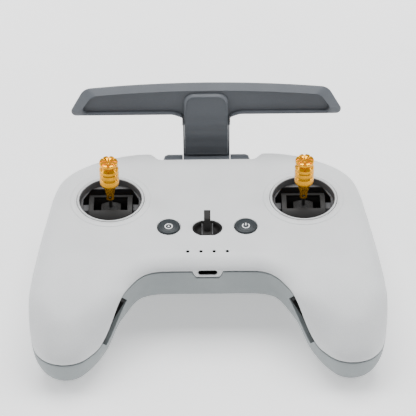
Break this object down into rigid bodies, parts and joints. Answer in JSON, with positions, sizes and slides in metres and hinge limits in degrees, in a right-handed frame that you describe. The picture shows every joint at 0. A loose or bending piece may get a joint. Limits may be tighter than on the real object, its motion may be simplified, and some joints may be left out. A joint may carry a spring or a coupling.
{
  "type": "radio transmitter controller",
  "caption": "Two-stick hand-held radio transmitter with grips, a folding T-shaped antenna, face buttons, status lights, a USB port and shoulder controls.",
  "frame": {"origin": "on the flat rear pad, midway between the sticks, straight below the gimbals' left-right axis", "axes": "+Z out of the control face, +Y away from the user towards the antenna, +X to the user's right"},
  "size_m": [0.187, 0.1557, 0.0879],
  "materials": {
    "pale_grey_plastic": "fine moulded grain",
    "grey_plastic": "fine moulded grain",
    "black_plastic": "satin",
    "slate_plastic": "satin",
    "gold_anodised": "anodised, turned",
    "steel": "plated",
    "black_rubber": "matte",
    "green_board": "solder mask",
    "battery_wrap": "shrink wrap",
    "dark_lens": "polished",
    "cable_jacket": "smooth jacket"
  },
  "bodies": {
    "housing": {"front_shell": "pale_grey_plastic", "rear_shell": "grey_plastic", "left_stick_bezel": "pale_grey_plastic", "right_stick_bezel": "pale_grey_plastic", "left_gimbal_housing": "black_plastic", "right_gimbal_housing": "black_plastic", "left_storage_liner": "black_rubber", "right_storage_liner": "black_rubber", "left_adjuster_plug": "black_rubber", "right_adjuster_plug": "black_rubber", "left_far_case_screw": "steel", "right_far_case_screw": "steel", "left_grip_case_screw": "steel", "right_grip_case_screw": "steel", "lanyard_cup": "black_plastic", "lanyard_hook": "black_plastic", "status_light_1": "dark_lens", "status_light_2": "dark_lens", "status_light_3": "dark_lens", "status_light_4": "dark_lens", "usb_port": "steel", "usb_tongue": "black_plastic", "button_board": "green_board", "main_board": "green_board", "radio_shield": "steel", "near_battery_cell": "battery_wrap", "far_battery_cell": "battery_wrap", "battery_tray": "black_plastic", "dial_axle": "steel", "antenna_hinge_base": "slate_plastic", "antenna_hinge_pin": "steel"},
    "left_yoke": {"left_gimbal_yoke": "black_plastic"},
    "left_stick": {"left_gimbal_rocker": "black_plastic", "left_stick_stem": "gold_anodised", "left_stick_crown": "gold_anodised", "left_grub_screw": "steel"},
    "right_yoke": {"right_gimbal_yoke": "black_plastic"},
    "right_stick": {"right_gimbal_rocker": "black_plastic", "right_stick_stem": "gold_anodised", "right_stick_crown": "gold_anodised", "right_grub_screw": "steel"},
    "custom_key": {"custom_button": "slate_plastic"},
    "power_key": {"power_button": "slate_plastic"},
    "pause_key": {"pause_button": "slate_plastic"},
    "start_key": {"start_button": "slate_plastic"},
    "record_key": {"record_button": "slate_plastic"},
    "custom_slider": {"custom_switch": "slate_plastic"},
    "mode_slider": {"mode_switch": "slate_plastic"},
    "dial": {"tilt_dial": "slate_plastic"},
    "antenna": {"antenna_arm": "slate_plastic", "antenna_cover": "slate_plastic", "antenna_tongue": "slate_plastic", "left_antenna_element": "green_board", "right_antenna_element": "green_board", "left_antenna_lead": "cable_jacket", "right_antenna_lead": "cable_jacket"}
  },
  "joints": [
    {"name": "left_stick_fore_aft", "type": "hinge", "parent": "housing", "child": "left_yoke", "pos_m": [-0.0526, 0, 0.032], "axis": [1, 0, 0], "range_deg": [-25, 25], "stiffness_Nm_per_rad": 0.06},
    {"name": "left_stick_sideways", "type": "hinge", "parent": "left_yoke", "child": "left_stick", "pos_m": [-0.0526, 0, 0.032], "axis": [0, 1, 0], "range_deg": [-25, 25], "stiffness_Nm_per_rad": 0.06},
    {"name": "right_stick_fore_aft", "type": "hinge", "parent": "housing", "child": "right_yoke", "pos_m": [0.0526, 0, 0.032], "axis": [1, 0, 0], "range_deg": [-25, 25], "stiffness_Nm_per_rad": 0.06},
    {"name": "right_stick_sideways", "type": "hinge", "parent": "right_yoke", "child": "right_stick", "pos_m": [0.0526, 0, 0.032], "axis": [0, 1, 0], "range_deg": [-25, 25], "stiffness_Nm_per_rad": 0.06},
    {"name": "custom_button_press", "type": "slide", "parent": "housing", "child": "custom_key", "axis": [0, 0, 1], "range_m": [-0.0008, 0], "stiffness_N_per_m": 1500},
    {"name": "power_button_press", "type": "slide", "parent": "housing", "child": "power_key", "axis": [0, 0, 1], "range_m": [-0.0008, 0], "stiffness_N_per_m": 1500},
    {"name": "pause_button_press", "type": "slide", "parent": "housing", "child": "pause_key", "axis": [-0.2542, 0.9671, 0], "range_m": [-0.0008, 0], "stiffness_N_per_m": 1500},
    {"name": "start_button_press", "type": "slide", "parent": "housing", "child": "start_key", "axis": [0.2963, 0.9551, 0], "range_m": [-0.0008, 0], "stiffness_N_per_m": 1500},
    {"name": "record_button_press", "type": "slide", "parent": "housing", "child": "record_key", "axis": [0.4815, 0.8765, 0], "range_m": [-0.0008, 0], "stiffness_N_per_m": 1500},
    {"name": "custom_switch_slide", "type": "slide", "parent": "housing", "child": "custom_slider", "axis": [-0.9963, -0.0865, 0], "range_m": [-0.0015, 0.0015]},
    {"name": "mode_switch_slide", "type": "slide", "parent": "housing", "child": "mode_slider", "axis": [-0.9963, 0.0865, 0], "range_m": [-0.0022, 0.0022]},
    {"name": "tilt_dial_turn", "type": "hinge", "parent": "housing", "child": "dial", "pos_m": [-0.06301, 0.02754, 0.032], "axis": [0, 0, 1], "range_deg": [-30, 30], "stiffness_Nm_per_rad": 0.01},
    {"name": "antenna_fold", "type": "hinge", "parent": "housing", "child": "antenna", "pos_m": [0, 0.042, 0.0378], "axis": [1, 0, 0], "range_deg": [-60, 25]}
  ]
}
